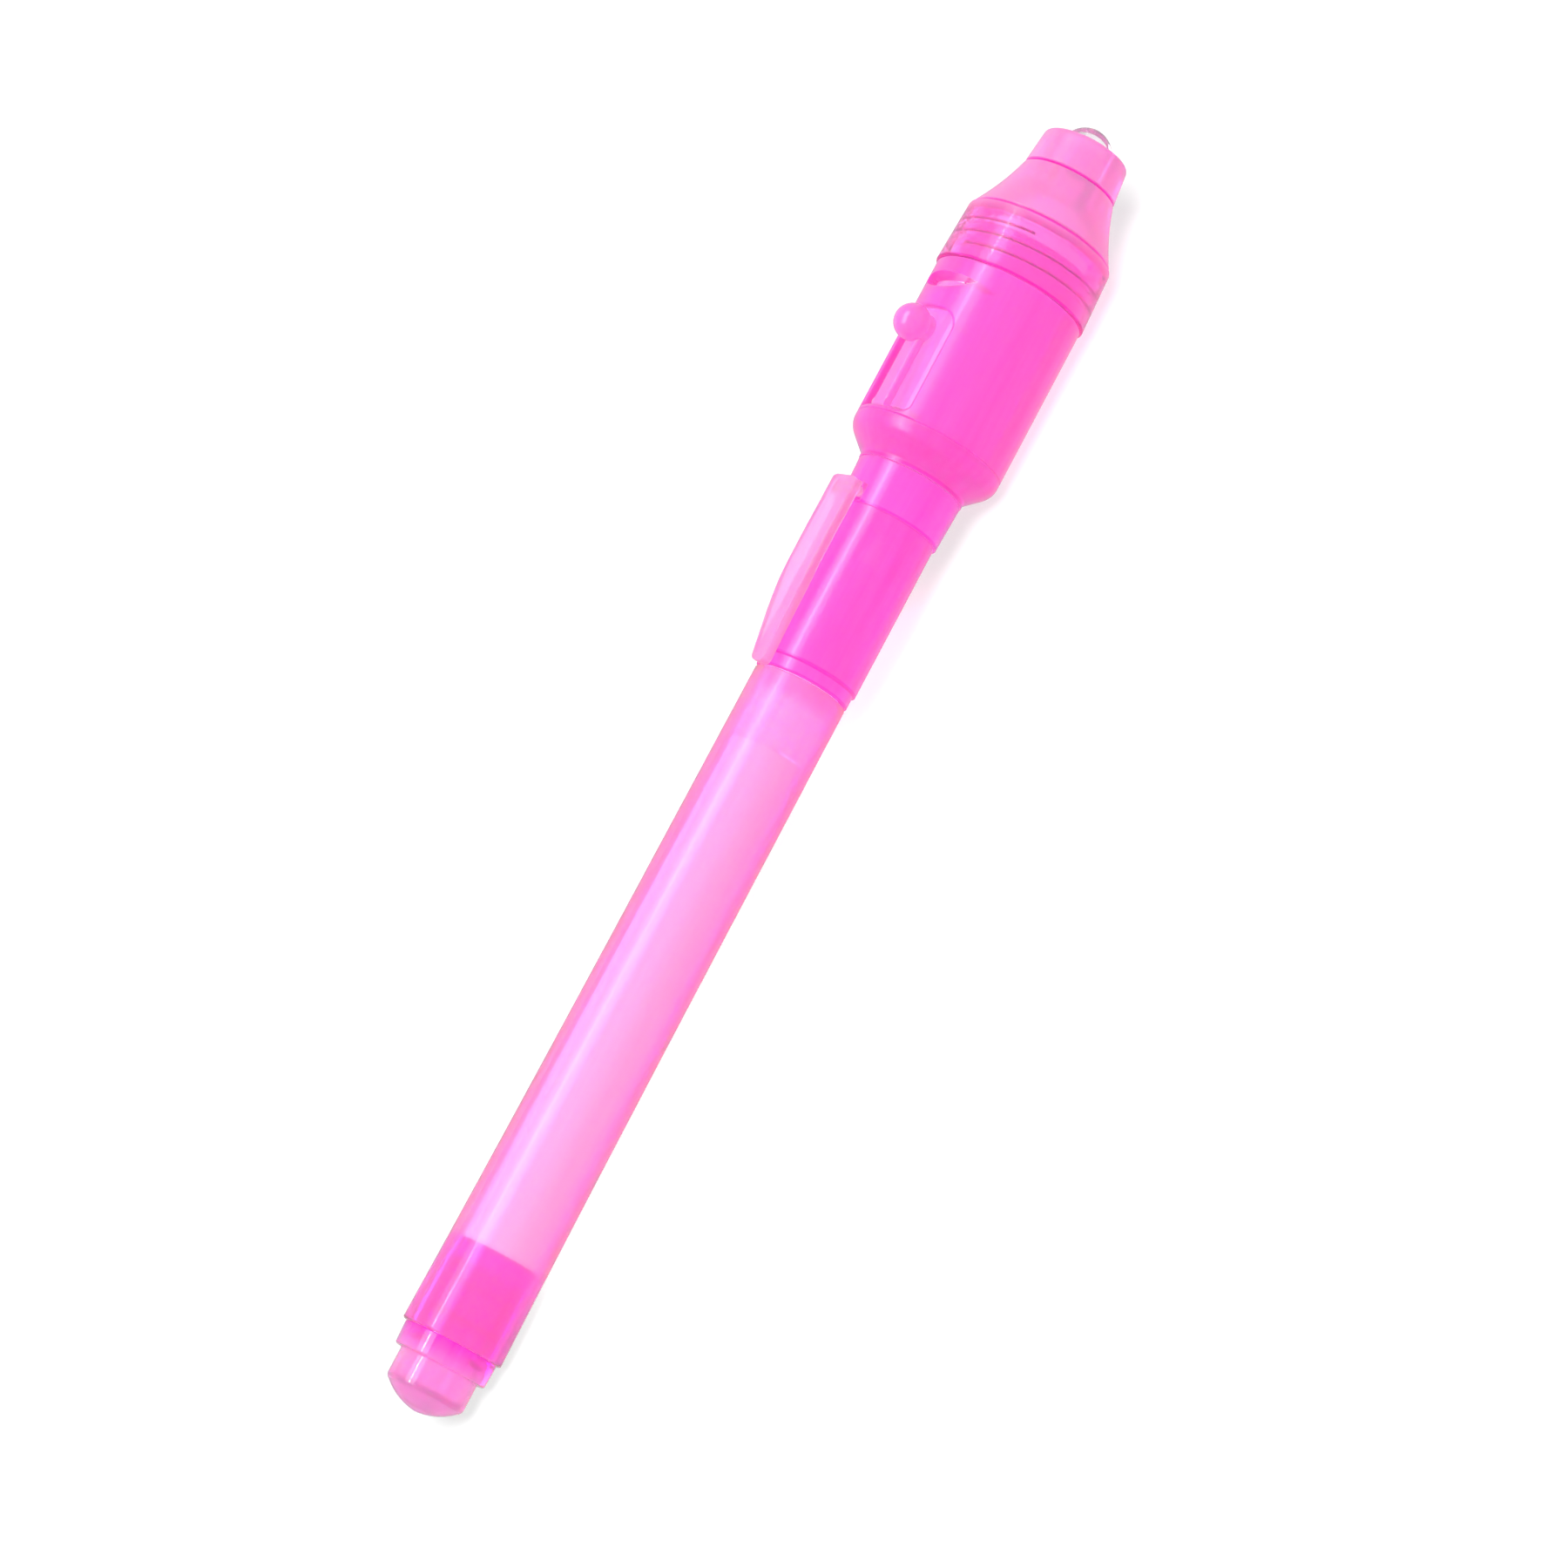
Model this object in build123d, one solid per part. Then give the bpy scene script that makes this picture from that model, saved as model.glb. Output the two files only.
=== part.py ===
from build123d import *
import math
import os

os.makedirs("parts", exist_ok=True)

# ------------------------------------------------------------------
# Driving dimensions, mm. Stations are measured along the pen from the
# rear apex (0) to the top of the lamp lens (LENGTH).
# ------------------------------------------------------------------
LENGTH = 132.1
AXIS_H = 7.5          # height of the pen axis above the resting plane
REST_FLAT = 0.1       # depth of the flat under the lamp housing

# end plug
PLUG_POST_R = 3.75
PLUG_POST_Z0, PLUG_POST_Z1 = 2.05, 4.5
PLUG_FLANGE_R = 4.48
BARREL_Z0 = 6.75
PLUG_SNUG_R = 3.97
PLUG_SNUG_Z1 = 11.85
PLUG_CUP_R = 3.86
PLUG_CUP_Z1 = 15.4

# barrel
BARREL_Z1 = 73.0
BARREL_R_REAR = 4.84
BARREL_R_FRONT = 4.50
BARREL_BORE_REAR = 4.0
BARREL_BORE_FRONT = 3.6

# ink core and nib
FILM_R = 3.46
FILM_T = 0.10
CORE_Z0, CORE_Z1 = 13.7, 66.2
NIB_R = 1.0
NIB_TIP = 0.42
NIB_Z0, NIB_Z1 = 60.6, 88.4
SECTION_R = 3.88
SECTION_Z1 = 85.6

# cap tube and collar
CAP_Z0, CAP_Z1 = 73.12, 94.2
CAP_BORE = 4.0
CAP_R = 4.78
LIP_R = 4.56
LIP_H = 1.35
COLLAR_Z0, COLLAR_Z1 = 89.9, 94.45
COLLAR_R, COLLAR_R0 = 5.15, 4.98

# pocket clip
CLIP_PIVOT_R, CLIP_PIVOT_Z = 5.52, 90.6
CLIP_KNUCKLE = 0.52
CLIP_HALF_W = 2.05
CLIP_TIP_HALF_W = 0.95
CLIP_EDGE = 0.28
CLIP_T = 0.9

# lamp housing
HEAD_R = 7.3
HEAD_BORE = 5.35
HEAD_NECK_R = 5.2
HEAD_Z0 = 94.5
HEAD_FLOOR = 98.2
HEAD_Z1 = 114.15
SPIGOT_R = 3.97
SPIGOT_Z0 = 90.1
NECK_R = 6.05
NECK_Z1 = 118.4

# screw thread
PITCH = 1.35
MALE_CREST = 6.4
FEMALE_ROOT = 6.6
FEMALE_CREST = 6.2
THREAD_Z0 = 114.95
THREAD_LEN = 2.9

# switch: a lever plate in a slot of the housing, its tip under a bridge
SLOT_HALF_W = 3.6
SLOT_Z0, SLOT_Z1 = 98.6, 108.95
SLOT_EDGE = 0.3
POCKET_HALF_W = 3.42
POCKET_Z1 = 112.45
BRIDGE_R_IN = 6.66
SLIT_HALF_W = 4.0
SLIT_Z, SLIT_TOP, SLIT_LOW = 112.25, 112.6, 110.95
LEVER_PIVOT_R, LEVER_PIVOT_Z = 6.45, 99.0
LEVER_KNUCKLE = 0.62
STEM_HALF_W = 0.95
PLATE_Z0, PLATE_Z1 = 98.95, 112.05
PLATE_HALF_W = 3.1
PLATE_R_IN, PLATE_R_OUT = 6.0, 6.4
BALL_R = 1.75
BALL_C_R, BALL_Z = 7.8, 106.8

# cells and contacts
CELL_R, CELL_H = 3.95, 3.6
CELL_Z0 = 106.6
HOLDER_R_IN, HOLDER_R_OUT = 4.05, 5.2
HOLDER_THIN_R = 4.42
HOLDER_Z0, HOLDER_Z1 = 99.0, 117.9
SPRING_R, SPRING_WIRE = 2.6, 0.225
LEAF_T = 0.15
LEAF_ROLL = 0.14
LEAF_HALF_W = 1.0
LEAF_PIVOT_R, LEAF_PIVOT_Z = 5.09, 98.9

# lamp
LED_R = 2.5
LED_FLANGE_R = 2.9
LED_Z0 = 123.45
LEAD_W = 0.5
LEAD_X = 1.27

# nose cone
NOSE_Z0 = 114.2
NOSE_R0 = 7.5
NOSE_RIM_Z, NOSE_RIM_R = 120.45, 7.18
NOSE_RING_Z, NOSE_RING_R = 126.35, 4.62
NOSE_TIP_Z, NOSE_TIP_R = 129.95, 4.22
LED_BORE = 2.6


# ------------------------------------------------------------------
# Helpers. Local frame: pen axis on Z, switch and clip toward +X.
# ------------------------------------------------------------------
def profile(points):
    """Closed radial profile. Each entry is (r, z), (r, z, corner radius)
    or ("via", r, z): a point that bends the side it stands in."""
    verts = [p for p in points if p[0] != "via"]
    bends = {}
    k = -1
    for p in points:
        if p[0] == "via":
            bends[k] = (p[1], p[2])
        else:
            k += 1
    n = len(verts)
    start, end, mids = [], [], []
    for i, p in enumerate(verts):
        b = Vector(p[0], 0, p[1])
        rad = p[2] if len(p) > 2 else 0
        if rad:
            a = Vector(verts[i - 1][0], 0, verts[i - 1][1])
            c = Vector(verts[(i + 1) % n][0], 0, verts[(i + 1) % n][1])
            u = (a - b).normalized()
            v = (c - b).normalized()
            half = math.acos(max(-1, min(1, u.dot(v)))) / 2
            cut = rad / math.tan(half)
            bis = (u + v).normalized()
            start.append(b + u * cut)
            end.append(b + v * cut)
            mids.append(b + bis * (rad / math.sin(half) - rad))
        else:
            start.append(b)
            end.append(b)
            mids.append(None)
    edges = []
    for i in range(n):
        if mids[i] is not None:
            edges.append(ThreePointArc(start[i], mids[i], end[i]))
        j = (i + 1) % n
        if i in bends:
            m = Vector(bends[i][0], 0, bends[i][1])
            edges.append(ThreePointArc(end[i], m, start[j]))
        elif (start[j] - end[i]).length > 1e-6:
            edges.append(Line(end[i], start[j]))
    return make_face(edges)


def lathe(points):
    return revolve(profile(points), Axis.Z, 360)


def block(x0, x1, y0, y1, z0, z1):
    return Pos((x0 + x1) / 2, (y0 + y1) / 2, (z0 + z1) / 2) * Box(
        x1 - x0, y1 - y0, z1 - z0
    )


def rod(r, z0, z1):
    return Pos(0, 0, (z0 + z1) / 2) * Cylinder(r, z1 - z0)


def pin_y(r, x, z, half):
    return Pos(x, 0, z) * Rot(90, 0, 0) * Cylinder(r, 2 * half)


def pin_x(r, x0, x1, z):
    return Pos((x0 + x1) / 2, 0, z) * Rot(0, 90, 0) * Cylinder(r, x1 - x0)


def helical_ridge(r_base, r_crest, w_base, w_crest, z0, height):
    """Trapezoid ridge wound around the axis, right-handed."""
    path = Helix(PITCH, height, r_base, center=(0, 0, z0))
    face = make_face(
        Polyline(
            (r_base, 0, z0 - w_base / 2),
            (r_crest, 0, z0 - w_crest / 2),
            (r_crest, 0, z0 + w_crest / 2),
            (r_base, 0, z0 + w_base / 2),
            close=True,
        )
    )
    return sweep(face, path=path, is_frenet=True)


# The pen lies along +X with the switch and the clip on top.
LAY = Plane(
    origin=(-LENGTH / 2, 0, AXIS_H), x_dir=(0, 0, 1), z_dir=(1, 0, 0)
).location
parts = {}


def keep(name, shape):
    parts[name] = shape
    export_step(shape.moved(LAY), "parts/" + name + ".step")


# ------------------------------------------------------------------
# Pen
# ------------------------------------------------------------------
end_plug = lathe(
    [
        (0, 0),
        ("via", 1.95, 0.50),
        (3.42, 1.48),
        ("via", 3.66, 1.72),
        (PLUG_POST_R, PLUG_POST_Z0),
        (PLUG_POST_R, PLUG_POST_Z1, 0.15),
        (PLUG_FLANGE_R - 0.08, PLUG_POST_Z1, 0.25),
        (PLUG_FLANGE_R, BARREL_Z0 - 0.03, 0.15),
        (PLUG_SNUG_R, BARREL_Z0 - 0.03),
        (PLUG_SNUG_R, 8.45),
        (PLUG_SNUG_R - 0.22, 8.55),
        (PLUG_SNUG_R - 0.22, 8.95),
        (PLUG_SNUG_R, 9.05),
        (PLUG_SNUG_R, PLUG_SNUG_Z1 - 0.15),
        (PLUG_CUP_R, PLUG_SNUG_Z1),
        (PLUG_CUP_R, PLUG_CUP_Z1, 0.12),
        (FILM_R + 0.04, PLUG_CUP_Z1),
        (FILM_R + 0.04, 13.6),
        (2.55, 13.6),
        (2.55, 6.2, 0.3),
        (2.85, 5.6, 0.3),
        (2.85, 2.3, 0.5),
        (0, 1.1),
    ]
)
keep("end_plug", end_plug)

outer_line = Spline(
    (BARREL_R_REAR, 0, BARREL_Z0 + 0.25),
    (4.73, 0, 15.0),
    (4.61, 0, 30.0),
    (4.54, 0, 50.0),
    (BARREL_R_FRONT, 0, BARREL_Z1 - 0.15),
)
bore_rear = Vector(BARREL_BORE_REAR, 0, BARREL_Z0)
bore_mid = Vector(BARREL_BORE_REAR, 0, 13.0)
bore_front = Vector(BARREL_BORE_FRONT, 0, 66.3)
bore_end = Vector(BARREL_BORE_FRONT, 0, BARREL_Z1)
barrel = revolve(
    make_face(
        [
            outer_line,
            Line((BARREL_R_FRONT, 0, BARREL_Z1 - 0.15), (BARREL_R_FRONT - 0.12, 0, BARREL_Z1)),
            Line((BARREL_R_FRONT - 0.12, 0, BARREL_Z1), bore_end),
            Line(bore_end, bore_front),
            Line(bore_front, bore_mid),
            Line(bore_mid, bore_rear),
            Line(bore_rear, (BARREL_R_REAR - 0.25, 0, BARREL_Z0)),
            ThreePointArc(
                (BARREL_R_REAR - 0.25, 0, BARREL_Z0),
                (BARREL_R_REAR - 0.073, 0, BARREL_Z0 + 0.073),
                (BARREL_R_REAR, 0, BARREL_Z0 + 0.25),
            ),
        ]
    ),
    Axis.Z,
    360,
)
keep("barrel", barrel)

reservoir_film = lathe(
    [
        (FILM_R - FILM_T, CORE_Z0),
        (FILM_R, CORE_Z0),
        (FILM_R, CORE_Z1),
        (FILM_R - FILM_T, CORE_Z1),
    ]
)
keep("reservoir_film", reservoir_film)

ink_reservoir = lathe(
    [
        (0, CORE_Z0),
        (FILM_R - FILM_T - 0.02, CORE_Z0, 0.1),
        (FILM_R - FILM_T - 0.02, CORE_Z1, 0.1),
        (NIB_R + 0.03, CORE_Z1),
        (NIB_R + 0.03, NIB_Z0 - 0.1),
        (0, NIB_Z0 - 0.1),
    ]
)
keep("ink_reservoir", ink_reservoir)

nib_section = lathe(
    [
        (2.9, 66.5),
        (BARREL_BORE_FRONT - 0.03, 66.5, 0.15),
        (BARREL_BORE_FRONT - 0.03, BARREL_Z1 + 0.02),
        (SECTION_R, BARREL_Z1 + 0.02, 0.1),
        (SECTION_R, 75.2),
        (SECTION_R + 0.07, 75.4),
        (SECTION_R + 0.07, 75.8),
        (SECTION_R, 76.0),
        (SECTION_R, 79.8, 0.3),
        (3.3, 80.4, 0.3),
        ("via", 2.7, 83.0),
        (1.75, SECTION_Z1),
        (NIB_R + 0.03, SECTION_Z1),
        (NIB_R + 0.03, 78.6),
        (2.35, 77.2),
        (2.9, 72.0),
    ]
)
keep("nib_section", nib_section)

felt_nib = lathe(
    [
        (0, NIB_Z0),
        (NIB_R - 0.3, NIB_Z0),
        (NIB_R, NIB_Z0 + 0.5),
        (NIB_R, 86.5, 1.5),
        (NIB_TIP * math.sin(math.pi / 3), NIB_Z1 - NIB_TIP / 2),
        ("via", NIB_TIP / 2, NIB_Z1 - NIB_TIP * (1 - math.cos(math.pi / 6))),
        (0, NIB_Z1),
    ]
)
keep("felt_nib", felt_nib)

# ------------------------------------------------------------------
# Lamp cap
# ------------------------------------------------------------------
cap_tube = lathe(
    [
        (CAP_BORE, CAP_Z0, 0.1),
        (LIP_R, CAP_Z0, 0.15),
        (LIP_R, CAP_Z0 + LIP_H - 0.15),
        (CAP_R, CAP_Z0 + LIP_H, 0.08),
        (CAP_R, CAP_Z1, 0.1),
        (CAP_BORE, CAP_Z1),
    ]
)
keep("cap_tube", cap_tube)

collar_ring = lathe(
    [
        (CAP_R + 0.02, COLLAR_Z0),
        (COLLAR_R0, COLLAR_Z0, 0.08),
        (COLLAR_R, COLLAR_Z1, 0.1),
        (CAP_R + 0.02, COLLAR_Z1),
    ]
)
clip_lug = (
    block(4.9, 5.36, -1.75, 1.75, COLLAR_Z0 + 0.02, 91.6)
    - rod(CAP_R + 0.02, COLLAR_Z0 - 1, 93)
    - pin_y(CLIP_KNUCKLE + 0.05, CLIP_PIVOT_R, CLIP_PIVOT_Z, 3)
)
clip_collar = (
    collar_ring - pin_y(CLIP_KNUCKLE + 0.05, CLIP_PIVOT_R, CLIP_PIVOT_Z, 3)
) + clip_lug
keep("clip_collar", clip_collar)

clip_line = Spline(
    (5.96, 0, 91.7),
    (5.97, 0, 87.0),
    (5.91, 0, 81.5),
    (5.62, 0, 77.5),
    (5.30, 0, 74.7),
    (5.07, 0, 72.6),
)
clip_blade = sweep(
    Plane(origin=clip_line @ 0, x_dir=(0, 1, 0), z_dir=clip_line % 0)
    * RectangleRounded(2 * CLIP_HALF_W, CLIP_T, CLIP_EDGE),
    path=clip_line,
)
clip_plan = Rot(0, 0, 90) * profile(
    [
        (-CLIP_HALF_W - 0.1, 91.6, 1.0),
        (-CLIP_HALF_W - 0.1, 83.5, 6.0),
        (-CLIP_HALF_W + 0.5, 77.6, 4.0),
        (-CLIP_TIP_HALF_W, 72.85, 0.7),
        (CLIP_TIP_HALF_W, 72.85, 0.7),
        (CLIP_HALF_W - 0.5, 77.6, 4.0),
        (CLIP_HALF_W + 0.1, 83.5, 6.0),
        (CLIP_HALF_W + 0.1, 91.6, 1.0),
    ]
)
clip_mask = extrude(clip_plan, 12, dir=(1, 0, 0))
pocket_clip = clip_blade & clip_mask
pocket_clip = pocket_clip + pin_y(
    CLIP_KNUCKLE, CLIP_PIVOT_R, CLIP_PIVOT_Z, 1.7
)
keep("pocket_clip", pocket_clip)

head = lathe(
    [
        (0, 96.1),
        (3.05, 96.1, 0.3),
        (3.05, SPIGOT_Z0),
        (SPIGOT_R, SPIGOT_Z0, 0.15),
        (SPIGOT_R, HEAD_Z0),
        (HEAD_NECK_R, HEAD_Z0),
        (HEAD_NECK_R, 94.95, 0.4),
        (HEAD_R, 97.0, 1.9),
        (HEAD_R, 98.0),
        (HEAD_R - 0.1, 98.12),
        (HEAD_R, 98.24),
        (HEAD_R, HEAD_Z1, 0.12),
        (NECK_R, HEAD_Z1),
        (NECK_R, NECK_Z1, 0.2),
        (HEAD_BORE, NECK_Z1),
        (HEAD_BORE, HEAD_FLOOR, 0.4),
        (0, HEAD_FLOOR),
    ]
)
slot_plan = Rot(0, 0, 90) * profile(
    [
        (-SLOT_HALF_W, SLOT_Z0, 0.8),
        (SLOT_HALF_W, SLOT_Z0, 0.8),
        (SLOT_HALF_W, SLOT_Z1, 1.8),
        (-SLOT_HALF_W, SLOT_Z1, 1.8),
    ]
)
slot_cut = Pos(3.5, 0, 0) * extrude(slot_plan, 6, dir=(1, 0, 0))
pocket = block(
    3.5, 9, -POCKET_HALF_W, POCKET_HALF_W, SLOT_Z0 + 0.6, POCKET_Z1
) & rod(BRIDGE_R_IN, SLOT_Z0, POCKET_Z1 + 1)
slit_plan = make_face(
    [
        ThreePointArc(
            (3.5, -SLIT_HALF_W, SLIT_Z), (3.5, 0, SLIT_TOP), (3.5, SLIT_HALF_W, SLIT_Z)
        ),
        ThreePointArc(
            (3.5, SLIT_HALF_W, SLIT_Z), (3.5, 0, SLIT_LOW), (3.5, -SLIT_HALF_W, SLIT_Z)
        ),
    ]
)
slit = extrude(slit_plan, 6, dir=(1, 0, 0))
seat = pin_y(LEVER_KNUCKLE + 0.05, LEVER_PIVOT_R, LEVER_PIVOT_Z, STEM_HALF_W + 0.12)
male = helical_ridge(
    NECK_R - 0.12, MALE_CREST, 0.72, 0.28, THREAD_Z0, THREAD_LEN
)
head = head - slot_cut
slot_rim = [
    e
    for e in head.edges()
    if SLOT_Z0 - 0.05 < e.center().Z < SLOT_Z1 + 0.05
    and all(
        abs(math.hypot((e @ t).X, (e @ t).Y) - HEAD_R) < 0.001
        for t in (0, 0.3, 0.7, 1)
    )
    and abs((e @ 0.5).Y) < SLOT_HALF_W + 0.01
    and (e @ 0.5).X > 0
]
head = fillet(slot_rim, SLOT_EDGE)
rest_flat = block(-9, -(HEAD_R - REST_FLAT), -4, 4, HEAD_Z0, HEAD_Z1 + 0.5)
lamp_housing = (head + male) - pocket - slit - seat - rest_flat
keep("lamp_housing", lamp_housing)

holder_tube = lathe(
    [
        (HOLDER_R_IN, HOLDER_Z0),
        (HOLDER_R_OUT, HOLDER_Z0, 0.2),
        (HOLDER_R_OUT, HOLDER_Z1, 0.2),
        (HOLDER_R_IN, HOLDER_Z1),
    ]
)
flat = block(0, 7, -3.45, 3.45, HOLDER_Z0 - 1, HOLDER_Z1 + 1) - rod(
    HOLDER_THIN_R, HOLDER_Z0 - 2, HOLDER_Z1 + 2
)
battery_holder = holder_tube - flat
keep("battery_holder", battery_holder)

caps, gaskets = [], []
for i in range(3):
    z = CELL_Z0 + i * CELL_H
    can = lathe(
        [
            (0, z + 0.52),
            (3.22, z + 0.52),
            (3.22, z + 0.30),
            (3.5, z + 0.30, 0.1),
            (CELL_R, z + 0.78, 0.35),
            (CELL_R, z + CELL_H - 0.02, 0.28),
            (0, z + CELL_H - 0.02),
        ]
    )
    keep("button_cell_" + str(i + 1), can)
    caps.append(
        lathe([(0, z), (2.85, z, 0.18), (2.85, z + 0.5), (0, z + 0.5)])
    )
    gaskets.append(
        lathe(
            [
                (2.87, z + 0.24),
                (3.2, z + 0.24, 0.06),
                (3.2, z + 0.5),
                (2.87, z + 0.5),
            ]
        )
    )
keep("cell_caps", Compound(children=caps))
keep("cell_gaskets", Compound(children=gaskets))

spring_z0 = HEAD_FLOOR + 0.24 + SPRING_WIRE
spring_h = CELL_Z0 - 0.03 - SPRING_WIRE - spring_z0
coil = Helix(spring_h / 5.0, spring_h, SPRING_R, center=(0, 0, spring_z0))
battery_spring = sweep(
    Plane(origin=coil @ 0, z_dir=coil % 0) * Circle(SPRING_WIRE),
    path=coil,
    is_frenet=True,
)
keep("battery_spring", battery_spring)

contact_strip = (
    rod(3.2, HEAD_FLOOR + 0.03, HEAD_FLOOR + 0.2)
    + block(0, 5.15, -LEAF_HALF_W, LEAF_HALF_W, HEAD_FLOOR + 0.03, HEAD_FLOOR + 0.2)
    + block(5.0, 5.15, -LEAF_HALF_W, LEAF_HALF_W, HEAD_FLOOR + 0.03, 98.73)
) - block(4.85, 6, LEAF_HALF_W - 0.2, 3, 98, 99) - block(
    4.85, 6, -3, -LEAF_HALF_W + 0.2, 98, 99
)
keep("contact_strip", contact_strip)

# ------------------------------------------------------------------
# Switch
# ------------------------------------------------------------------
plate_plan = Rot(0, 0, 90) * profile(
    [
        (-PLATE_HALF_W, PLATE_Z0, 0.5),
        (PLATE_HALF_W, PLATE_Z0, 0.5),
        (PLATE_HALF_W, PLATE_Z1, 0.8),
        (-PLATE_HALF_W, PLATE_Z1, 0.8),
    ]
)
plate = (
    rod(PLATE_R_OUT, PLATE_Z0 - 1, PLATE_Z1 + 1)
    - rod(PLATE_R_IN, PLATE_Z0 - 2, PLATE_Z1 + 2)
) & (Pos(3.5, 0, 0) * extrude(plate_plan, 6, dir=(1, 0, 0)))
stem = block(
    LEVER_PIVOT_R - LEVER_KNUCKLE,
    LEVER_PIVOT_R + LEVER_KNUCKLE,
    -STEM_HALF_W,
    STEM_HALF_W,
    LEVER_PIVOT_Z,
    BALL_Z + 0.6,
)
stem = fillet(
    [
        e
        for e in stem.edges()
        if e.length > 4 and e.center().X > LEVER_PIVOT_R
    ],
    0.3,
)
knuckle = pin_y(LEVER_KNUCKLE, LEVER_PIVOT_R, LEVER_PIVOT_Z, STEM_HALF_W)
ball = Pos(BALL_C_R, 0, BALL_Z) * Sphere(BALL_R)
ball_neck = pin_x(1.5, 6.1, BALL_C_R, BALL_Z)
pip = pin_x(0.7, 5.75, 6.3, BALL_Z)
switch_lever = plate + stem + knuckle + ball_neck + ball + pip
keep("switch_lever", switch_lever)

contact_leaf = extrude(
    make_face(
        Polyline(
            (5.01, 0, 98.92),
            (5.01 + LEAF_T, 0, 98.92),
            (5.28 + LEAF_T, 0, 103.6),
            (5.50 + LEAF_T, 0, 106.0),
            (5.50 + LEAF_T, 0, 107.3),
            (5.50, 0, 107.3),
            (5.50, 0, 106.0),
            (5.28, 0, 103.6),
            close=True,
        )
    ),
    LEAF_HALF_W - 0.2,
    both=True,
)
# rolled root that the leaf flexes about
contact_leaf = contact_leaf + pin_y(
    LEAF_ROLL, LEAF_PIVOT_R, LEAF_PIVOT_Z, LEAF_HALF_W - 0.2
)
keep("contact_leaf", contact_leaf)

# ------------------------------------------------------------------
# Lamp module
# ------------------------------------------------------------------
hw = LEAD_W / 2
cathode = (
    block(LEAD_X - hw, LEAD_X + hw, -hw, hw, 119.9, 126.6)
    + block(-0.35, LEAD_X + hw, -hw, hw, 126.2, 127.3)
    + block(LEAD_X - hw, 4.75, -hw, hw, 119.9, 120.2)
    + block(4.5, 4.75, -hw, hw, 106.3, 120.2)
)
cathode = cathode - Pos(0.1, 0, 127.3) * Cone(0.05, 0.24, 0.4)
keep("led_cathode_lead", cathode)

anode = (
    block(-LEAD_X - hw, -LEAD_X + hw, -hw, hw, 117.43, 127.0)
    + block(-LEAD_X - hw, -0.62, -hw, hw, 126.55, 127.3)
    + block(-LEAD_X - hw, 0.9, -hw, hw, 117.43, 117.6)
)
keep("led_anode_lead", anode)

led_body = lathe(
    [
        (0, LED_Z0),
        (LED_FLANGE_R, LED_Z0, 0.08),
        (LED_FLANGE_R, LED_Z0 + 1.0, 0.12),
        (LED_R, LED_Z0 + 1.0, 0.1),
        (LED_R, LENGTH - LED_R),
        ("via", LED_R * math.sin(math.pi / 4), LENGTH - LED_R + LED_R * math.cos(math.pi / 4)),
        (0, LENGTH),
    ]
)
led_body = led_body - block(2.55, 4, -4, 4, LED_Z0 - 0.5, LED_Z0 + 1.5)
uv_led_lens = led_body - cathode - anode
keep("uv_led_lens", uv_led_lens)

led_holder = lathe(
    [
        (0, 117.66),
        (3.85, 117.66, 0.15),
        (3.85, 118.45),
        (5.2, 118.45, 0.15),
        (5.2, 119.8, 0.25),
        (2.75, 119.8, 0.2),
        (2.75, LED_Z0 - 0.05, 0.2),
        (0, LED_Z0 - 0.05),
    ]
)
gap = 0.06
led_holder = (
    led_holder
    - block(LEAD_X - hw - gap, 5.5, -hw - gap, hw + gap, 119.84, 124)
    - block(4.44, 5.5, -hw - gap, hw + gap, 117, 124)
    - block(
        -LEAD_X - hw - gap, -LEAD_X + hw + gap, -hw - gap, hw + gap, 117, 124
    )
)
keep("led_holder", led_holder)

# ------------------------------------------------------------------
# Nose cone
# ------------------------------------------------------------------
nose = lathe(
    [
        (FEMALE_ROOT, NOSE_Z0),
        (NOSE_R0, NOSE_Z0, 0.18),
        (NOSE_RIM_R + 0.05, NOSE_RIM_Z - 0.12, 0.2),
        (NOSE_RIM_R - 0.32, NOSE_RIM_Z + 0.06),
        (NOSE_RIM_R - 0.25, NOSE_RIM_Z + 0.3),
        ("via", 5.66, 123.3),
        (NOSE_RING_R + 0.01, NOSE_RING_Z - 0.2),
        (NOSE_RING_R - 0.3, NOSE_RING_Z),
        (NOSE_RING_R - 0.06, NOSE_RING_Z + 0.2),
        (NOSE_TIP_R - 0.02, NOSE_TIP_Z - 0.05, 0.5),
        (3.0, NOSE_TIP_Z + 0.36, 0.2),
        (LED_BORE, NOSE_TIP_Z - 0.1),
        (LED_BORE, LED_Z0 + 1.1),
        (3.05, LED_Z0 + 1.1),
        (3.05, 123.9),
        (5.45, 120.35, 0.4),
        (FEMALE_ROOT, 119.6),
    ]
)
female = helical_ridge(
    FEMALE_ROOT + 0.14, FEMALE_CREST, 0.74, 0.28, THREAD_Z0 + PITCH / 2, THREAD_LEN
)
nose_cone = nose + female
keep("nose_cone", nose_cone)
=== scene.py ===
import math

import bpy
from mathutils import Matrix, Vector

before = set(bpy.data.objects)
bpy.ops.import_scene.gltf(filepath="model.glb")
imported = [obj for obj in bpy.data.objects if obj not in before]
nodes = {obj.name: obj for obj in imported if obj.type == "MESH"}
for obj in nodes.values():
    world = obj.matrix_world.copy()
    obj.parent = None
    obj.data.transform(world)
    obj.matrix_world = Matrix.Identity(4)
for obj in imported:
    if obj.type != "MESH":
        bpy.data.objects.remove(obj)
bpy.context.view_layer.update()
scene = bpy.context.scene

# ------------------------------------------------------------------
# Stations along the pen are given in mm from the rear apex, radii in mm.
# ------------------------------------------------------------------
MM = 0.001
LENGTH = 132.1
AXIS_H = 7.5


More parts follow.
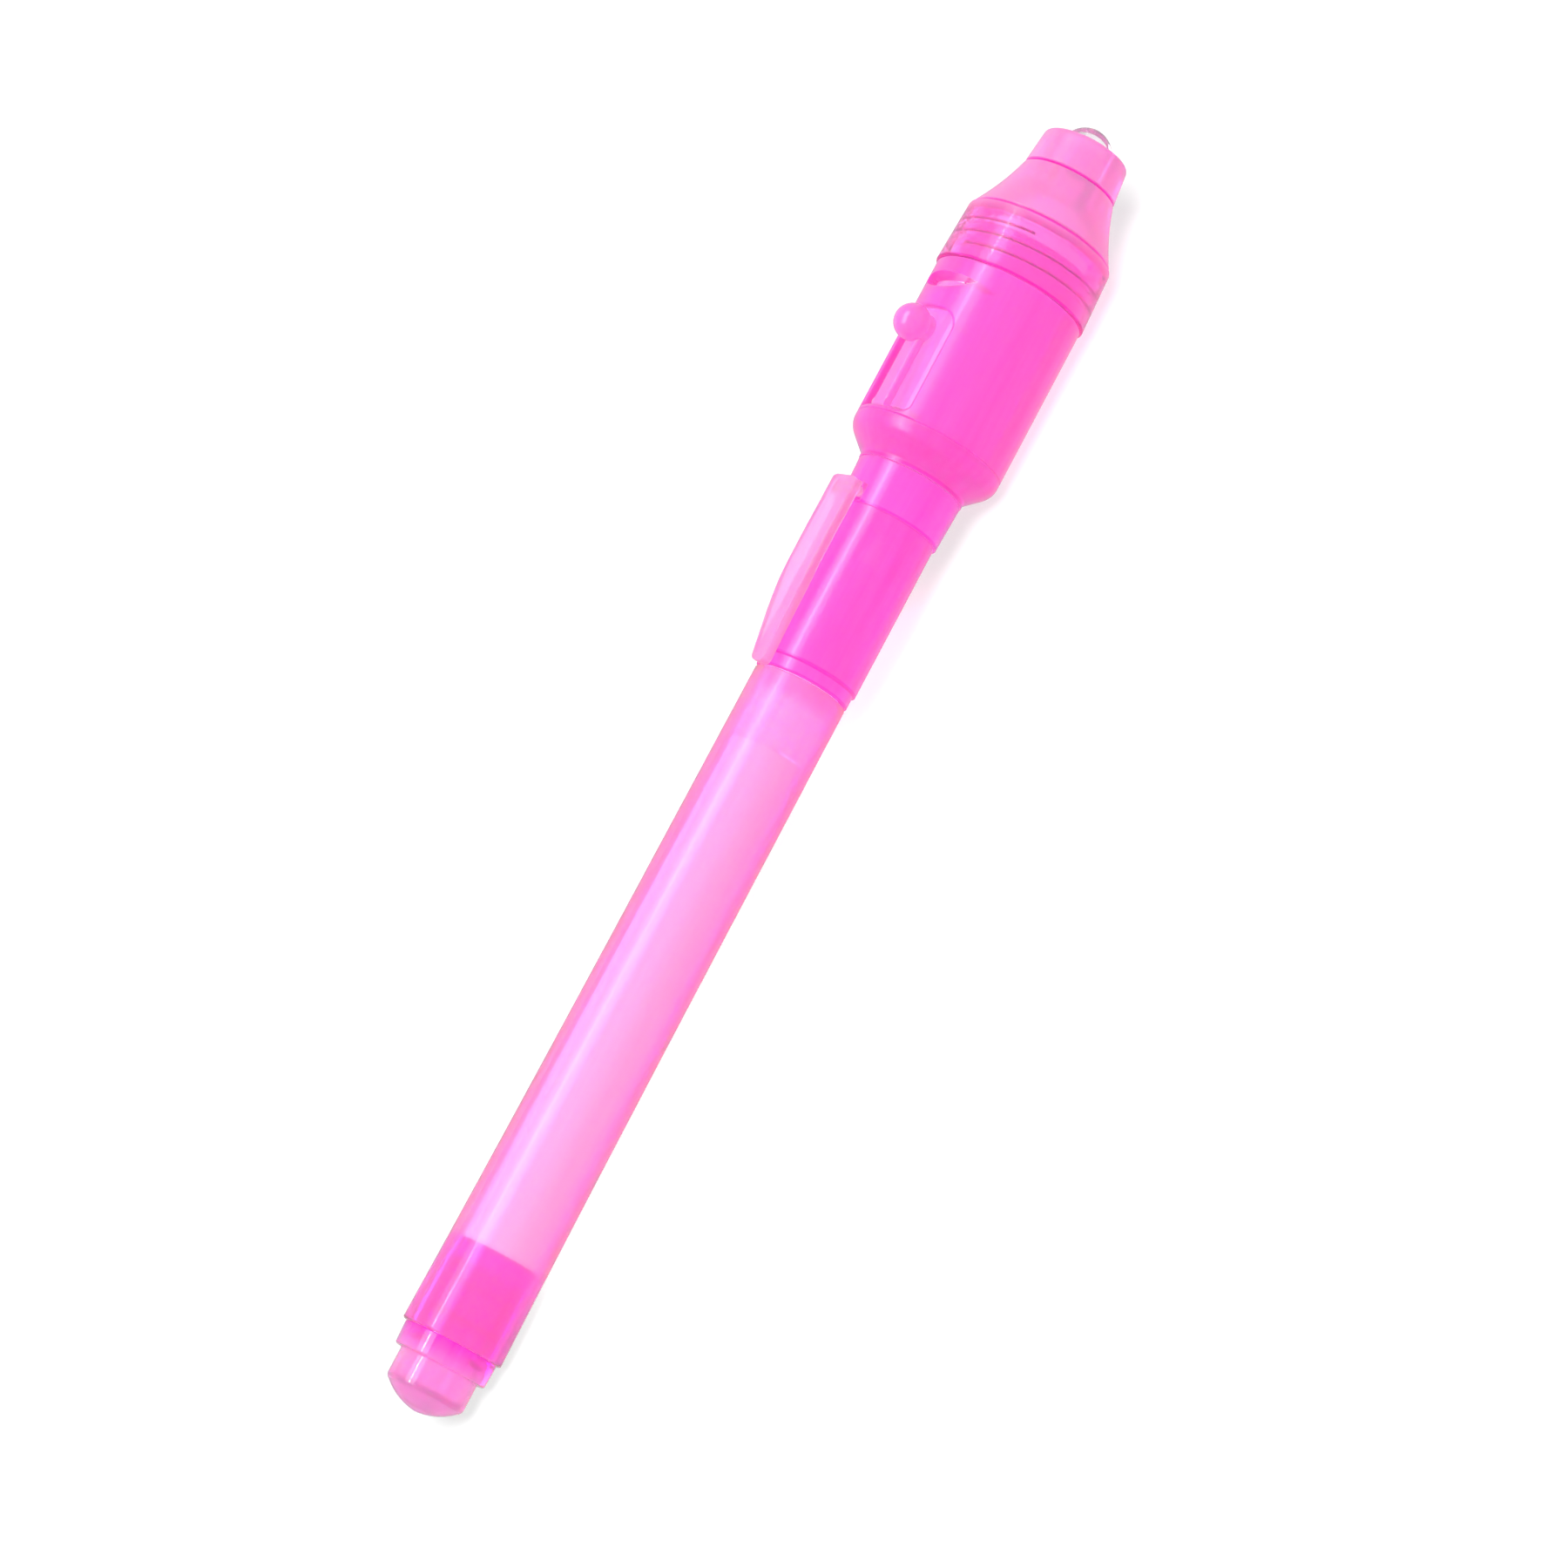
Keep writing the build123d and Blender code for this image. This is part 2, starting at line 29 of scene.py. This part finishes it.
def at(z, r=0.0, deg=0.0):
    """Point at a station, a radius and an angle from the top toward -Y."""
    a = math.radians(deg)
    return Vector(
        (
            (z - LENGTH / 2) * MM,
            -r * math.sin(a) * MM,
            (AXIS_H + r * math.cos(a)) * MM,
        )
    )


# ------------------------------------------------------------------
# Node helpers
# ------------------------------------------------------------------
def new_mat(name):
    m = bpy.data.materials.new(name)
    m.use_nodes = True
    nt = m.node_tree
    for n in list(nt.nodes):
        nt.nodes.remove(n)
    out = nt.nodes.new("ShaderNodeOutputMaterial")
    return m, nt, out


def node(nt, kind, **sets):
    n = nt.nodes.new(kind)
    for k, v in sets.items():
        if k in n.inputs:
            n.inputs[k].default_value = v
        else:
            setattr(n, k, v)
    return n


def obj_coords(nt, scale=(1.0, 1.0, 1.0)):
    tc = node(nt, "ShaderNodeTexCoord")
    mp = node(nt, "ShaderNodeMapping")
    mp.inputs["Scale"].default_value = scale
    nt.links.new(tc.outputs["Object"], mp.inputs["Vector"])
    return mp.outputs["Vector"]


def noise(nt, vec, scale, detail=3.0, rough=0.5):
    n = node(nt, "ShaderNodeTexNoise")
    n.inputs["Scale"].default_value = scale
    n.inputs["Detail"].default_value = detail
    n.inputs["Roughness"].default_value = rough
    nt.links.new(vec, n.inputs["Vector"])
    return n.outputs["Fac"]


def span(nt, fac, lo, hi, src_lo=0.3, src_hi=0.7):
    n = node(nt, "ShaderNodeMapRange")
    n.inputs["From Min"].default_value = src_lo
    n.inputs["From Max"].default_value = src_hi
    n.inputs["To Min"].default_value = lo
    n.inputs["To Max"].default_value = hi
    nt.links.new(fac, n.inputs["Value"])
    return n.outputs["Result"]


def mix_rgb(nt, fac, a, b):
    n = node(nt, "ShaderNodeMix", data_type="RGBA")
    n.inputs["A"].default_value = (*a, 1.0)
    n.inputs["B"].default_value = (*b, 1.0)
    # the colour sockets of this node come after its number and vector ones
    n.inputs[6].default_value = (*a, 1.0)
    n.inputs[7].default_value = (*b, 1.0)
    nt.links.new(fac, n.inputs[0])
    return n.outputs[2]


def bump(nt, height, strength, distance):
    n = node(nt, "ShaderNodeBump")
    n.inputs["Strength"].default_value = strength
    n.inputs["Distance"].default_value = distance
    nt.links.new(height, n.inputs["Height"])
    return n.outputs["Normal"]


# ------------------------------------------------------------------
# Materials
# ------------------------------------------------------------------
def clear_plastic(
    name,
    absorb,
    density,
    rough=(0.10, 0.18),
    coat=1.0,
    coat_rough=0.05,
    tint_a=(1.0, 0.95, 0.985),
    tint_b=(1.0, 0.985, 1.0),
    flow=(60.0, 900.0, 900.0),
    bump_mm=0.02,
    ior=1.5,
    trans=1.0,
    sss=0.0,
    spec=0.5,
    coat_ior=1.6,
    thin=None,
    gloss=None,
    clear=None,
    lines=(),
):
    """Moulded translucent plastic: partly milky, partly clear, with faint
    flow lines along the pen and a slightly uneven skin. thin names a pair of
    stations between which the plastic goes over, toward the rear, to the
    second tint. gloss is the roughness it has there and clear its
    transmission. lines names stations, with half widths, of grooves and edges
    where a darker pink is painted in as painted shade."""
    m, nt, out = new_mat(name)
    vec = obj_coords(nt, flow)
    streaks = noise(nt, vec, 1.0, 3.0, 0.55)
    skin = noise(nt, obj_coords(nt), 700.0, 2.0, 0.5)
    p = node(nt, "ShaderNodeBsdfPrincipled")
    p.inputs["Transmission Weight"].default_value = trans
    if sss:
        p.inputs["Subsurface Weight"].default_value = 1.0
        p.inputs["Subsurface Radius"].default_value = (1.0, 0.35, 0.8)
        p.inputs["Subsurface Scale"].default_value = sss * MM
    p.inputs["IOR"].default_value = ior
    p.inputs["Specular IOR Level"].default_value = spec
    p.inputs["Coat Weight"].default_value = coat
    p.inputs["Coat Roughness"].default_value = coat_rough
    p.inputs["Coat IOR"].default_value = coat_ior
    tone = span(nt, streaks, 0, 1)
    if thin:
        xyz = node(nt, "ShaderNodeSeparateXYZ")
        nt.links.new(obj_coords(nt), xyz.inputs[0])
        ease = span(nt, xyz.outputs["X"], 1, 0, at(thin[0]).x, at(thin[1]).x)
        both = node(nt, "ShaderNodeMath", operation="MULTIPLY_ADD")
        both.inputs[1].default_value = 0.2
        nt.links.new(tone, both.inputs[0])
        nt.links.new(ease, both.inputs[2])
        tone = both.outputs[0]
    tint = mix_rgb(nt, tone, tint_a, tint_b)
    # painted shade: darker pink bands painted in at the listed grooves and edges, where
    # shade falls
    if lines:
        where = node(nt, "ShaderNodeSeparateXYZ")
        nt.links.new(obj_coords(nt), where.inputs[0])
        shade_mask = None
        for z, half in lines:
            away = node(nt, "ShaderNodeMath", operation="SUBTRACT")
            away.inputs[1].default_value = at(z).x
            nt.links.new(where.outputs["X"], away.inputs[0])
            size_of = node(nt, "ShaderNodeMath", operation="ABSOLUTE")
            nt.links.new(away.outputs[0], size_of.inputs[0])
            shade_band = span(nt, size_of.outputs[0], 1, 0, half * MM * 0.4, half * MM)
            if shade_mask is None:
                shade_mask = shade_band
            else:
                most = node(nt, "ShaderNodeMath", operation="MAXIMUM")
                nt.links.new(shade_mask, most.inputs[0])
                nt.links.new(shade_band, most.inputs[1])
                shade_mask = most.outputs[0]
        shade_mix = node(nt, "ShaderNodeMix", data_type="RGBA")
        shade_mix.inputs[7].default_value = (*SHADE_PINK, 1.0)
        nt.links.new(shade_mask, shade_mix.inputs[0])
        nt.links.new(tint, shade_mix.inputs[6])
        tint = shade_mix.outputs[2]
    nt.links.new(tint, p.inputs["Base Color"])
    skin_rough = span(nt, skin, rough[0], rough[1])
    if thin and gloss is not None:
        fade = node(nt, "ShaderNodeMix", data_type="FLOAT")
        fade.inputs[3].default_value = gloss
        nt.links.new(ease, fade.inputs[0])
        nt.links.new(skin_rough, fade.inputs[2])
        skin_rough = fade.outputs[0]
    nt.links.new(skin_rough, p.inputs["Roughness"])
    if thin and clear is not None:
        pass_on = node(nt, "ShaderNodeMix", data_type="FLOAT")
        pass_on.inputs[2].default_value = trans
        pass_on.inputs[3].default_value = clear
        nt.links.new(ease, pass_on.inputs[0])
        nt.links.new(pass_on.outputs[0], p.inputs["Transmission Weight"])
    height = node(nt, "ShaderNodeMath", operation="ADD")
    nt.links.new(streaks, height.inputs[0])
    nt.links.new(span(nt, skin, 0.0, 0.35), height.inputs[1])
    nt.links.new(bump(nt, height.outputs[0], 0.25, bump_mm * MM), p.inputs["Normal"])
    nt.links.new(p.outputs["BSDF"], out.inputs["Surface"])
    if density > 0:
        va = node(nt, "ShaderNodeVolumeAbsorption")
        va.inputs["Color"].default_value = (*absorb, 1.0)
        va.inputs["Density"].default_value = density
        nt.links.new(va.outputs["Volume"], out.inputs["Volume"])
    return m


def solid(
    name,
    col_a,
    col_b,
    rough=(0.35, 0.5),
    metal=0.0,
    scale=(1.0, 1.0, 1.0),
    grain=1500.0,
    bump_mm=0.01,
    strength=0.4,
    sheen=0.0,
    detail=3.0,
):
    m, nt, out = new_mat(name)
    g = noise(nt, obj_coords(nt, scale), grain, detail, 0.6)
    p = node(nt, "ShaderNodeBsdfPrincipled")
    p.inputs["Metallic"].default_value = metal
    if sheen:
        p.inputs["Sheen Weight"].default_value = sheen
    nt.links.new(mix_rgb(nt, span(nt, g, 0, 1), col_a, col_b), p.inputs["Base Color"])
    nt.links.new(span(nt, g, rough[0], rough[1]), p.inputs["Roughness"])
    nt.links.new(bump(nt, g, strength, bump_mm * MM), p.inputs["Normal"])
    nt.links.new(p.outputs["BSDF"], out.inputs["Surface"])
    return m


PINK = (1.0, 0.10, 0.97)
# the darker pink that is painted into grooves and edges as painted shade
SHADE_PINK = (1.0, 0.07, 0.66)
HOT_A, HOT_B = (1.0, 0.14, 0.72), (1.0, 0.18, 0.76)
SOFT_A, SOFT_B = (1.0, 0.41, 0.79), (1.0, 0.47, 0.82)
PALE_A = (1.0, 0.70, 0.83)
FROST_A = (1.0, 0.42, 0.80)

# the lines given below are stations of painted shade at grooves and edges
mats = {
    "head": clear_plastic(
        "pink_clear_head", PINK, 250.0, rough=(0.10, 0.15), coat=0.75, coat_rough=0.30,
        tint_a=HOT_A, tint_b=HOT_B, trans=0.5, sss=1.5, ior=1.35, spec=0.05,
        lines=((94.7, 0.22),),
    ),
    "lever": clear_plastic(
        "pink_clear_lever", PINK, 150.0, rough=(0.10, 0.15), coat=0.9, coat_rough=0.05,
        tint_a=(1.0, 0.25, 0.79), tint_b=(1.0, 0.29, 0.82), trans=0.45, sss=1.5, ior=1.35,
        spec=0.05,
    ),
    "tube": clear_plastic(
        "pink_clear_tube", PINK, 250.0, rough=(0.10, 0.15), coat=0.7, coat_rough=0.24,
        tint_a=HOT_A, tint_b=HOT_B, trans=0.5, sss=1.5, ior=1.35, spec=0.05,
        lines=((90.0, 0.22), (74.47, 0.22), (73.2, 0.14)),
    ),
    "clip": clear_plastic(
        "pink_clear_clip", PINK, 80.0, rough=(0.10, 0.15), coat=0.3, coat_rough=0.15,
        tint_a=SOFT_A, tint_b=SOFT_B, trans=0.6, sss=1.5, ior=1.35, spec=0.05, bump_mm=0.006,
    ),
    "plug": clear_plastic(
        "pink_clear_plug", PINK, 200.0, rough=(0.06, 0.10), coat=0.8, coat_rough=0.06,
        tint_a=(1.0, 0.05, 0.80), tint_b=(1.0, 0.45, 0.85), trans=0.65, sss=1.5, ior=1.4,
        spec=0.05, thin=(4.2, 6.6), lines=((15.3, 0.14), (11.75, 0.16), (8.75, 0.24)),
    ),
    "barrel": clear_plastic(
        "pink_clear_barrel", PINK, 900.0, rough=(0.20, 0.26), coat=0.25, coat_rough=0.16,
        tint_a=PALE_A, tint_b=(1.0, 0.47, 0.80), trans=0.82, sss=1.5, ior=1.33, spec=0.05,
        thin=(14.8, 15.8), gloss=0.07,
    ),
    "nose": clear_plastic(
        "pink_frost", PINK, 160.0, rough=(0.20, 0.26), coat=0.3, coat_rough=0.30,
        tint_a=FROST_A, tint_b=(1.0, 0.34, 0.80), trans=0.50, sss=1.5, ior=1.33, spec=0.05,
        thin=(119.2, 120.4), gloss=0.06, clear=0.80,
        lines=((126.35, 0.20), (120.45, 0.24), (114.3, 0.16)),
    ),
    "milky": clear_plastic(
        "pink_milky", (1.0, 1.0, 1.0), 0.0, rough=(0.3, 0.4), coat=0.0,
        tint_a=(1.0, 0.30, 0.72), tint_b=(1.0, 0.80, 0.89), trans=0.35, sss=1.5,
        thin=(70.6, 71.8),
    ),
    "epoxy": clear_plastic(
        "led_epoxy",
        (0.86, 0.78, 0.84),
        60.0,
        rough=(0.02, 0.06),
        tint_a=(0.90, 0.86, 0.89),
        tint_b=(0.95, 0.92, 0.95),
        ior=1.53,
    ),
    "film": clear_plastic(
        "core_film",
        (1.0, 1.0, 1.0),
        0.0,
        rough=(0.2, 0.35),
        coat=0.0,
        tint_a=(0.96, 0.95, 0.96),
        tint_b=(1.0, 1.0, 1.0),
        flow=(100.0, 2000.0, 2000.0),
    ),
    "fibre": solid(
        "bonded_fibre",
        (0.98, 0.94, 0.95),
        (1.0, 0.98, 0.98),
        rough=(0.7, 0.9),
        scale=(60.0, 1500.0, 1500.0),
        grain=3.0,
        bump_mm=0.02,
        strength=0.4,
        sheen=0.2,
    ),
    "felt": solid(
        "pressed_felt",
        (0.60, 0.58, 0.55),
        (0.76, 0.74, 0.71),
        rough=(0.75, 0.95),
        scale=(200.0, 1800.0, 1800.0),
        grain=2.5,
        bump_mm=0.05,
        strength=0.7,
        sheen=0.3,
    ),
    "pale": solid(
        "pale_plastic",
        (1.0, 0.50, 0.80),
        (1.0, 0.58, 0.84),
        rough=(0.4, 0.55),
        grain=900.0,
        bump_mm=0.01,
    ),
    "cell": solid(
        "nickel_plate",
        (0.55, 0.55, 0.56),
        (0.72, 0.72, 0.73),
        rough=(0.22, 0.38),
        metal=1.0,
        scale=(1500.0, 250.0, 250.0),
        grain=1.6,
        bump_mm=0.004,
    ),
    "gasket": solid(
        "gasket_nylon", (0.05, 0.05, 0.055), (0.10, 0.10, 0.11), rough=(0.5, 0.7)
    ),
    "wire": solid(
        "spring_wire",
        (0.48, 0.48, 0.49),
        (0.68, 0.68, 0.69),
        rough=(0.25, 0.4),
        metal=1.0,
        grain=2500.0,
        bump_mm=0.004,
    ),
    "contact": solid(
        "tinned_strip",
        (0.52, 0.50, 0.46),
        (0.70, 0.68, 0.63),
        rough=(0.25, 0.42),
        metal=1.0,
        scale=(150.0, 1500.0, 1500.0),
        grain=1.5,
        bump_mm=0.004,
    ),
    "lead": solid(
        "tinned_lead",
        (0.55, 0.55, 0.56),
        (0.74, 0.74, 0.75),
        rough=(0.2, 0.36),
        metal=1.0,
        scale=(150.0, 1500.0, 1500.0),
        grain=1.5,
        bump_mm=0.004,
    ),
}

use = {
    "barrel": "barrel",
    "nib_section": "milky",
    "end_plug": "plug",
    "cap_tube": "tube",
    "clip_collar": "tube",
    "pocket_clip": "clip",
    "lamp_housing": "head",
    "switch_lever": "lever",
    "nose_cone": "nose",
    "uv_led_lens": "epoxy",
    "reservoir_film": "film",
    "ink_reservoir": "fibre",
    "felt_nib": "felt",
    "battery_holder": "pale",
    "led_holder": "pale",
    "button_cell_1": "cell",
    "button_cell_2": "cell",
    "button_cell_3": "cell",
    "cell_caps": "cell",
    "cell_gaskets": "gasket",
    "battery_spring": "wire",
    "contact_strip": "contact",
    "contact_leaf": "contact",
    "led_anode_lead": "lead",
    "led_cathode_lead": "lead",
}
for n, key in use.items():
    ob = nodes[n]
    ob.data.materials.clear()
    ob.data.materials.append(mats[key])
    # the clear plastic throws no colour on the paper
    if key in ("head", "lever", "tube", "clip", "plug", "barrel", "nose", "epoxy", "film"):
        ob.visible_diffuse = False

# ------------------------------------------------------------------
# Floor: touches the shoulder of the lamp housing and the back of the barrel
# ------------------------------------------------------------------
front = at(97.6, -7.2)
rear = at(6.95, -4.9)
tilt = math.atan2(rear.z - front.z, front.x - rear.x)
size = 3.0
mesh = bpy.data.meshes.new("floor")
mesh.from_pydata(
    [(-size, -size, 0), (size, -size, 0), (size, size, 0), (-size, size, 0)],
    [],
    [(0, 1, 2, 3)],
)
floor = bpy.data.objects.new("floor", mesh)
scene.collection.objects.link(floor)
floor.matrix_world = Matrix.Translation(front - Vector((0, 0, 0.00002))) @ Matrix.Rotation(
    tilt, 4, "Y"
)
fm, fnt, fout = new_mat("floor_paper")
fg = noise(fnt, obj_coords(fnt), 40.0, 2.0, 0.5)
fp = node(fnt, "ShaderNodeBsdfPrincipled")
fnt.links.new(
    mix_rgb(fnt, span(fnt, fg, 0, 1), (0.93, 0.93, 0.93), (0.94, 0.94, 0.94)),
    fp.inputs["Base Color"],
)
fp.inputs["Roughness"].default_value = 0.9
fp.inputs["Specular IOR Level"].default_value = 0.1
fnt.links.new(fp.outputs["BSDF"], fout.inputs["Surface"])
mesh.materials.append(fm)
floor.visible_glossy = False

# ------------------------------------------------------------------
# Light
# ------------------------------------------------------------------
world = bpy.data.worlds.new("studio")
scene.world = world
world.use_nodes = True
bg = world.node_tree.nodes["Background"]
bg.inputs["Color"].default_value = (1.0, 1.0, 1.0, 1.0)
bg.inputs["Strength"].default_value = 0.52


def area(name, loc, target, sx, sy, power, spread=180.0):
    data = bpy.data.lights.new(name, "AREA")
    data.shape = "RECTANGLE"
    data.size = sx
    data.size_y = sy
    data.energy = power
    data.spread = math.radians(spread)
    ob = bpy.data.objects.new(name, data)
    scene.collection.objects.link(ob)
    ob.location = loc
    ob.rotation_euler = (
        (Vector(target) - Vector(loc)).to_track_quat("-Z", "Y").to_euler()
    )
    return ob


def group(name, objs):
    c = bpy.data.collections.new(name)
    for o in objs:
        c.objects.link(o)
    return c


pen_group = group("pen_group", nodes.values())
floor_group = group("floor_group", [floor])

# lamps over the pen: a top panel with a bright strip in it, and two panels
# that only fill, one on the camera's side and one behind
for lamp, shine in (
    (area("key_wide", (0.0, -0.06, 0.64), (0, 0, 0.007), 0.90, 0.34, 2.3), True),
    (area("key_core", (0.0, -0.06, 0.62), (0, 0, 0.007), 0.80, 0.030, 1.0), True),
    (area("front", (0.0, -0.62, 0.36), (0, 0, 0.007), 1.1, 0.6, 1.1), False),
    (area("back", (0.0, 0.85, 0.40), (0, 0, 0.007), 1.2, 0.5, 5.5), False),
):
    lamp.visible_glossy = shine
    lamp.light_linking.receiver_collection = pen_group
    lamp.light_linking.blocker_collection = floor_group


# light on the floor: a soft sun that the pen shades, and even fill
def sun(name, energy, disc, lean, blockers):
    data = bpy.data.lights.new(name, "SUN")
    data.energy = energy
    data.angle = math.radians(disc)
    ob = bpy.data.objects.new(name, data)
    scene.collection.objects.link(ob)
    ob.rotation_euler = (math.radians(lean), 0.0, 0.0)
    ob.light_linking.receiver_collection = floor_group
    ob.light_linking.blocker_collection = blockers


sun("sky", 1.6, 30.0, 32.0, pen_group)
sun("sky_fill", 1.0, 30.0, 0.0, floor_group)

# ------------------------------------------------------------------
# Camera
# ------------------------------------------------------------------
PHI = math.radians(58.0)     # from the camera's side of the pen up to the clip
TAU = math.radians(10.0)     # toward the end plug
LEAN = math.radians(28.0)    # of the pen in the picture
DIST = 0.460
OFFSET = 0.00274
centre = at(64.6)
ax = Vector((1, 0, 0))
perp = Vector((0, -math.sin(PHI), math.cos(PHI)))
back = (math.cos(TAU) * perp - math.sin(TAU) * ax).normalized()
fwd = -back
a_img = (ax - ax.dot(fwd) * fwd).normalized()
p_img = fwd.cross(a_img).normalized()
up = math.cos(LEAN) * a_img - math.sin(LEAN) * p_img
right = math.sin(LEAN) * a_img + math.cos(LEAN) * p_img
pos = centre + OFFSET * p_img + DIST * back
cam_data = bpy.data.cameras.new("camera")
cam_data.sensor_width = 36.0
cam_data.lens = 117.8
cam_data.clip_start = 0.01
cam_data.clip_end = 20.0
cam = bpy.data.objects.new("camera", cam_data)
scene.collection.objects.link(cam)
cam.matrix_world = Matrix(
    (
        (right.x, up.x, back.x, pos.x),
        (right.y, up.y, back.y, pos.y),
        (right.z, up.z, back.z, pos.z),
        (0, 0, 0, 1),
    )
)
scene.camera = cam

scene.view_settings.view_transform = "Standard"
scene.view_settings.look = "None"
cy = scene.cycles
cy.max_bounces = 32
cy.transmission_bounces = 24
cy.transparent_max_bounces = 48
cy.diffuse_bounces = 5
cy.glossy_bounces = 6
cy.sample_clamp_indirect = 6.0
